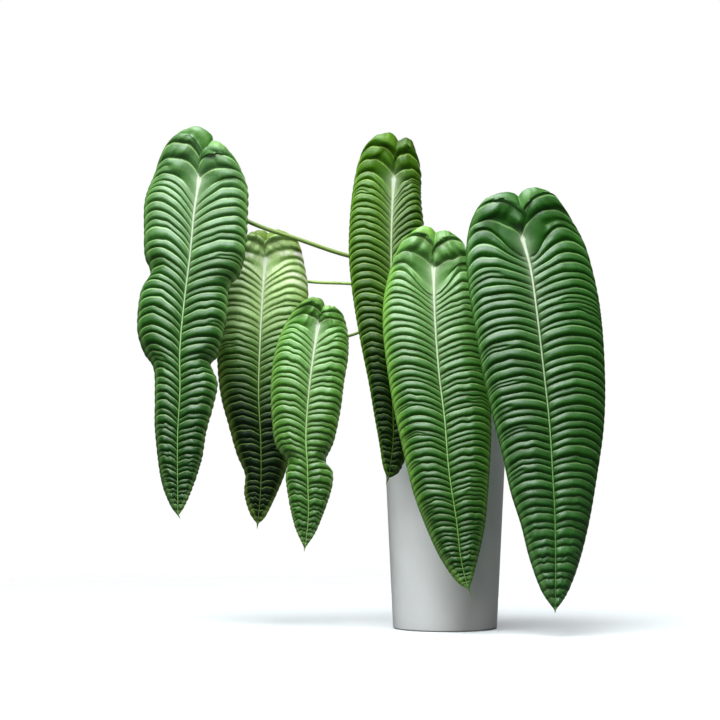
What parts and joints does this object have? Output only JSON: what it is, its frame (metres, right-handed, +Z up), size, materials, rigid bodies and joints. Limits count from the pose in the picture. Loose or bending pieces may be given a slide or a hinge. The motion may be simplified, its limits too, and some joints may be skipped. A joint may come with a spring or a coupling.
{
  "type": "potted king anthurium",
  "caption": "Potted king anthurium: hanging, strap-like, deeply ribbed leaves on long thin stalks from a short stem, in a tall plain round pot.",
  "frame": {"origin": "centre of the pot's foot, on the surface that it stands on", "axes": "+Z up, -Y towards the side that the leaves face, +X to the right as seen from there"},
  "size_m": [0.6831, 0.3262, 0.7437],
  "materials": {
    "pot": "matt off-white, smooth",
    "soil": "loose bark and peat mix",
    "stem": "green-brown, ringed, with dry papery scales",
    "blade_dark": "satin leaf, deep blue-green with paler veins",
    "blade_pale": "satin leaf, yellow-green, bleached at the top",
    "blade_young": "satin leaf, light fresh green",
    "blade_yellowish": "satin leaf, yellowish green, darker below",
    "blade_mid": "satin leaf, mid green with pale margins",
    "stalk": "smooth yellow-green leaf stalk"
  },
  "bodies": {
    "root": {"pot": "pot", "soil": "soil", "stem": "stem", "blade_1": "blade_dark", "blade_2": "blade_pale", "blade_3": "blade_young", "blade_4": "blade_yellowish", "blade_5": "blade_mid", "blade_6": "blade_dark", "stalk_1": "stalk", "stalk_2": "stalk", "stalk_3": "stalk", "stalk_4": "stalk", "stalk_5": "stalk", "stalk_6": "stalk"}
  },
  "joints": []
}
